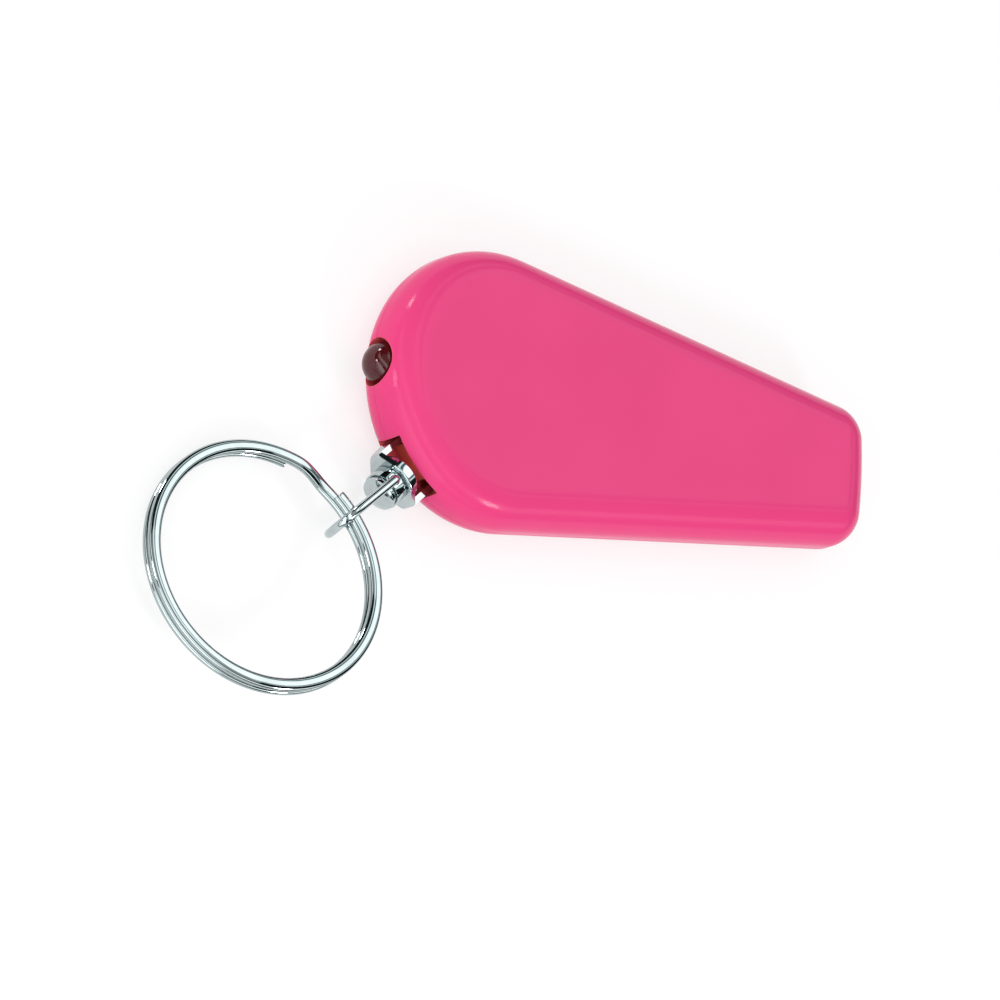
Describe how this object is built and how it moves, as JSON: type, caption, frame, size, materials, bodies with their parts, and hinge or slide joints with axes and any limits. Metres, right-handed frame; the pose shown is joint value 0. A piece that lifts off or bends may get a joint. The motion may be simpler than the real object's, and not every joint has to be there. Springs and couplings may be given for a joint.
{
  "type": "whistle key chain",
  "caption": "Flat tear-drop safety whistle with a press-button light in its round end and a swivel, wire link and split key ring.",
  "frame": {"origin": "centre of the whistle's round end, on the plane of its flat back, at the centre of the push button", "axes": "+X from the round end to the mouthpiece, +Z out of the smooth front face, +Y across the whistle"},
  "size_m": [0.097, 0.0572, 0.009],
  "materials": {
    "pink_shell": "glossy moulded pink plastic",
    "pink_button": "glossy moulded pink plastic with a thumb dish",
    "red_frame": "plain moulded deep red plastic",
    "clear_lamp": "clear cast epoxy",
    "tinned_lead": "tinned steel",
    "cell_steel": "plain pressed steel can",
    "contact_brass": "stamped spring brass",
    "dome_steel": "pressed spring steel",
    "screw_steel": "zinc plated",
    "pin_steel": "ground steel",
    "chrome_swivel": "bright nickel-chrome plate",
    "chrome_wire": "bright plated wire",
    "chrome_ring": "bright plated spring wire"
  },
  "bodies": {
    "whistle_body": {"front_shell": "pink_shell", "rear_shell": "pink_shell", "inner_frame": "red_frame", "windway_insert": "red_frame", "led_lamp": "clear_lamp", "led_anode_lead": "tinned_lead", "led_cathode_lead": "tinned_lead", "lower_cell": "cell_steel", "upper_cell": "cell_steel", "positive_contact": "contact_brass", "negative_contact": "contact_brass", "switch_dome": "dome_steel", "case_screws": "screw_steel", "bracket_pin": "pin_steel"},
    "push_button": {"push_button": "pink_button"},
    "swivel_bracket": {"swivel_bracket": "chrome_swivel"},
    "swivel_stud": {"swivel_stud": "chrome_swivel"},
    "link_ring": {"link_ring": "chrome_wire"},
    "split_ring": {"split_ring": "chrome_ring"}
  },
  "joints": [
    {"name": "button_press", "type": "slide", "parent": "whistle_body", "child": "push_button", "axis": [0, 0, 1], "range_m": [0, 0.0008], "stiffness_N_per_m": 600, "deforming": ["switch_dome"]},
    {"name": "bracket_swing", "type": "hinge", "parent": "whistle_body", "child": "swivel_bracket", "pos_m": [-0.00909, -0.00915, 0.004], "axis": [0.7096, -0.7046, 0], "range_deg": [-16, 16]},
    {"name": "stud_spin", "type": "hinge", "parent": "swivel_bracket", "child": "swivel_stud", "pos_m": [-0.01286, -0.01295, 0.004], "axis": [-0.7046, -0.7096, 0], "continuous": true},
    {"name": "link_swing", "type": "hinge", "parent": "swivel_stud", "child": "link_ring", "pos_m": [-0.01353, -0.01362, 0.004], "axis": [-0.1717, 0.1705, 0.9703], "range_deg": [-55, 68]},
    {"name": "ring_swing", "type": "hinge", "parent": "link_ring", "child": "split_ring", "pos_m": [-0.01908, -0.01841, 0.00447], "axis": [-0.5532, 0.8085, -0.2006], "range_deg": [-90, 90]}
  ]
}
